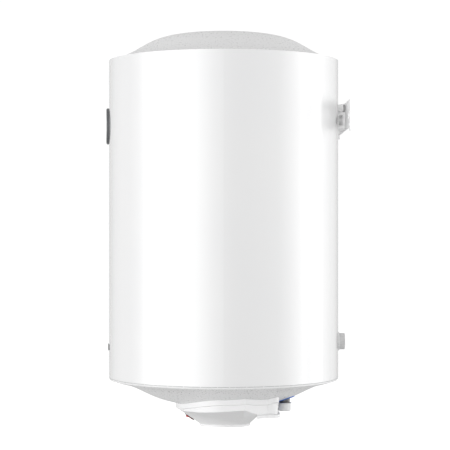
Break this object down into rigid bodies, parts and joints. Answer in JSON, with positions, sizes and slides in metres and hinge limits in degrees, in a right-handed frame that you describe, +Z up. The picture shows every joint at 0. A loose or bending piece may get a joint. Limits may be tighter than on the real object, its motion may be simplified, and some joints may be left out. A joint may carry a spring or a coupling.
{
  "type": "tank water heater",
  "caption": "Wall-hung electric storage water heater: white cylindrical tank with domed ends, bottom cover, two pipe stubs, front thermometer and rear bracket.",
  "frame": {"origin": "middle of the two hanging slots, on the face that lies on the wall", "axes": "+Z up, +Y towards the wall, +X to the right of a person facing the heater"},
  "size_m": [0.445, 0.4635, 0.7583],
  "materials": {
    "white_enamel": "gloss",
    "white_powder_coat": "satin",
    "white_plastic": "satin",
    "foam": "rough",
    "enamelled_steel": "gloss",
    "steel": "satin",
    "stainless": "satin",
    "threaded_steel": "rough",
    "magnesium": "matt",
    "black_rubber": "matt",
    "blue_rubber": "matt",
    "red_rubber": "matt",
    "grey_plastic": "matt",
    "black_plastic": "satin",
    "dark_grey_plastic": "satin",
    "dial_print": "matt",
    "pointer_red": "satin",
    "clear_plastic": "gloss",
    "copper": "satin",
    "brass": "satin",
    "red_plastic": "gloss",
    "grey_strip": "satin"
  },
  "bodies": {
    "heater": {"outer_shell": "white_enamel", "top_cap": "white_enamel", "bottom_cap": "white_enamel", "insulation_foam": "foam", "tank_barrel": "enamelled_steel", "tank_top_head": "enamelled_steel", "tank_bottom_head": "enamelled_steel", "flange_neck": "enamelled_steel", "flange_studs": "steel", "flange_gasket": "black_rubber", "heater_flange": "steel", "flange_nuts": "steel", "heating_element": "stainless", "element_terminals": "steel", "magnesium_anode": "magnesium", "anode_nut": "steel", "thermowell": "stainless", "thermostat_body": "black_plastic", "thermostat_probe": "steel", "cold_stub": "threaded_steel", "hot_stub": "threaded_steel", "hot_standpipe": "stainless", "inlet_diffuser": "grey_plastic", "cold_ring": "blue_rubber", "hot_ring": "red_rubber", "bottom_cover": "white_plastic", "cover_screws": "steel", "switch_body": "black_plastic", "cable_gland": "black_plastic", "gland_nut": "black_plastic", "thermometer_bezel": "dark_grey_plastic", "thermometer_can": "steel", "thermometer_dial": "dial_print", "thermometer_lens": "clear_plastic", "thermometer_probe": "copper", "probe_clip": "steel", "name_strip": "grey_strip", "wall_bracket": "white_powder_coat", "bracket_saddle": "white_powder_coat", "bracket_posts": "steel", "bracket_bolts": "steel", "bracket_washers": "steel", "rear_spacer": "grey_plastic", "spacer_collar": "white_plastic"},
    "knob": {"control_knob": "white_plastic", "thermostat_spindle": "brass"},
    "rocker": {"power_rocker": "red_plastic"},
    "cold_plug": {"cold_cap": "grey_plastic"},
    "hot_plug": {"hot_cap": "grey_plastic"},
    "pointer": {"thermometer_pointer": "pointer_red"},
    "reset": {"reset_button": "red_plastic"}
  },
  "joints": [
    {"name": "knob_turn", "type": "hinge", "parent": "heater", "child": "knob", "pos_m": [0, -0.2335, -0.59], "axis": [0, 0, -1], "range_deg": [0, 270]},
    {"name": "rocker_tilt", "type": "hinge", "parent": "heater", "child": "rocker", "pos_m": [0, -0.30025, -0.5734], "axis": [-1, 0, 0], "range_deg": [0, 20]},
    {"name": "cold_cap_pull", "type": "slide", "parent": "heater", "child": "cold_plug", "axis": [0, 0, -1], "range_m": [0, 0.03]},
    {"name": "hot_cap_pull", "type": "slide", "parent": "heater", "child": "hot_plug", "axis": [0, 0, -1], "range_m": [0, 0.03]},
    {"name": "pointer_swing", "type": "hinge", "parent": "heater", "child": "pointer", "pos_m": [0, -0.461, -0.0126], "axis": [0, -1, 0], "range_deg": [-250, 0]},
    {"name": "reset_press", "type": "slide", "parent": "heater", "child": "reset", "axis": [0, 0, 1], "range_m": [0, 0.0015], "stiffness_N_per_m": 300}
  ]
}
